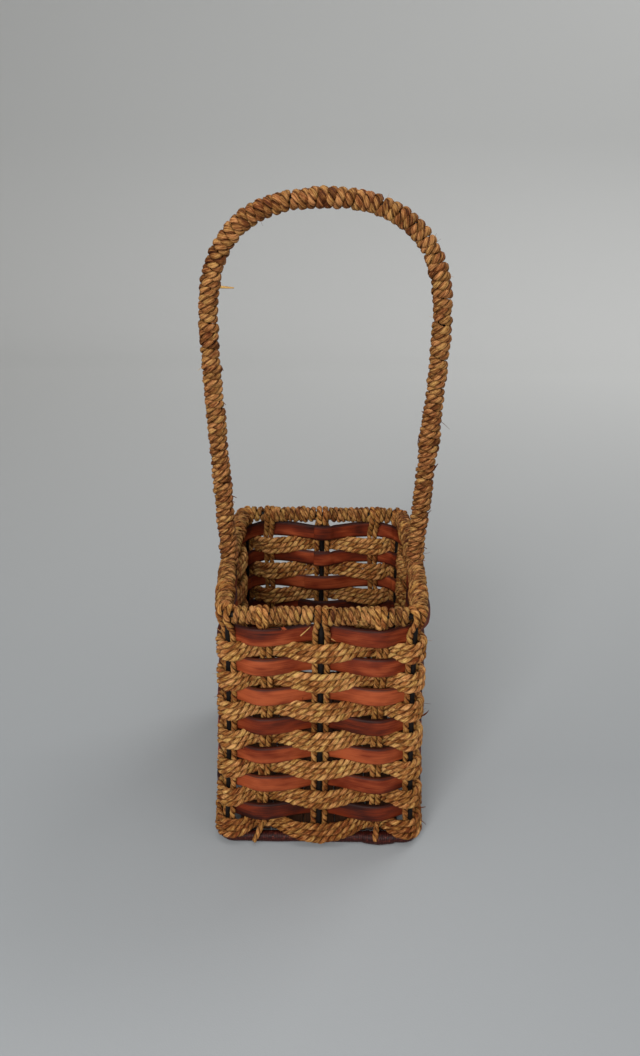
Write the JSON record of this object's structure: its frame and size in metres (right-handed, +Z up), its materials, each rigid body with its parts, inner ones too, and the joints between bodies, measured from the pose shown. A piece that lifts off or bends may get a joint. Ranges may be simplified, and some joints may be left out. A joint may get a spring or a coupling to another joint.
{
  "type": "wine basket",
  "caption": "Tall rectangular basket woven of split-wood strips and twisted rope on a wire frame, with a high hoop handle, for carrying and serving a wine bottle.",
  "frame": {"origin": "middle of the foot, on the surface that the base ring rests on", "axes": "+Z up, +X to the right seen from the front, +Y away from the front; the handle's hoop lies in the XZ plane"},
  "size_m": [0.1418, 0.1624, 0.381],
  "materials": {
    "black_iron": "black enamel, satin, slightly worn",
    "seagrass_rope": "two-ply twisted straw-coloured seagrass, dry and matt",
    "rim_cord": "two-ply twisted seagrass, matt with light fibres",
    "handle_cord": "two-ply twisted seagrass, browner, with some shine from handling",
    "stained_wood": "split wood strip stained red-brown, satin",
    "maroon_cord": "very fine dark maroon cord, waxed",
    "floor_wood": "split wood slat, plain"
  },
  "bodies": {
    "root": {"frame": "black_iron", "base_winding": "maroon_cord", "strip_1": "stained_wood", "strip_2": "stained_wood", "strip_3": "stained_wood", "strip_4": "stained_wood", "strip_5": "stained_wood", "strip_6": "stained_wood", "strip_7": "stained_wood", "rope_row_1": "seagrass_rope", "rope_row_2": "seagrass_rope", "rope_row_3": "seagrass_rope", "rope_row_4": "seagrass_rope", "rope_row_5": "seagrass_rope", "rope_row_6": "seagrass_rope", "rope_row_7": "seagrass_rope", "stake_front_left_corner": "seagrass_rope", "stake_front_left": "seagrass_rope", "stake_front_middle": "seagrass_rope", "stake_front_right": "seagrass_rope", "stake_front_right_corner": "seagrass_rope", "stake_right_front": "seagrass_rope", "stake_right_middle": "seagrass_rope", "stake_right_back": "seagrass_rope", "stake_back_right_corner": "seagrass_rope", "stake_back_right": "seagrass_rope", "stake_back_middle": "seagrass_rope", "stake_back_left": "seagrass_rope", "stake_back_left_corner": "seagrass_rope", "stake_left_back": "seagrass_rope", "stake_left_middle": "seagrass_rope", "stake_left_front": "seagrass_rope", "handle_wire": "black_iron", "rim_winding_front_1": "rim_cord", "rim_winding_front_2": "rim_cord", "rim_winding_right_1": "rim_cord", "rim_winding_right_2": "rim_cord", "rim_winding_back_1": "rim_cord", "rim_winding_back_2": "rim_cord", "rim_winding_left_1": "rim_cord", "rim_winding_left_2": "rim_cord", "handle_winding_1": "handle_cord", "handle_winding_2": "handle_cord", "handle_winding_3": "handle_cord", "handle_winding_4": "handle_cord", "floor_slat_1": "floor_wood", "floor_slat_2": "floor_wood", "floor_slat_3": "floor_wood", "floor_slat_4": "floor_wood", "floor_slat_5": "floor_wood"}
  },
  "joints": []
}
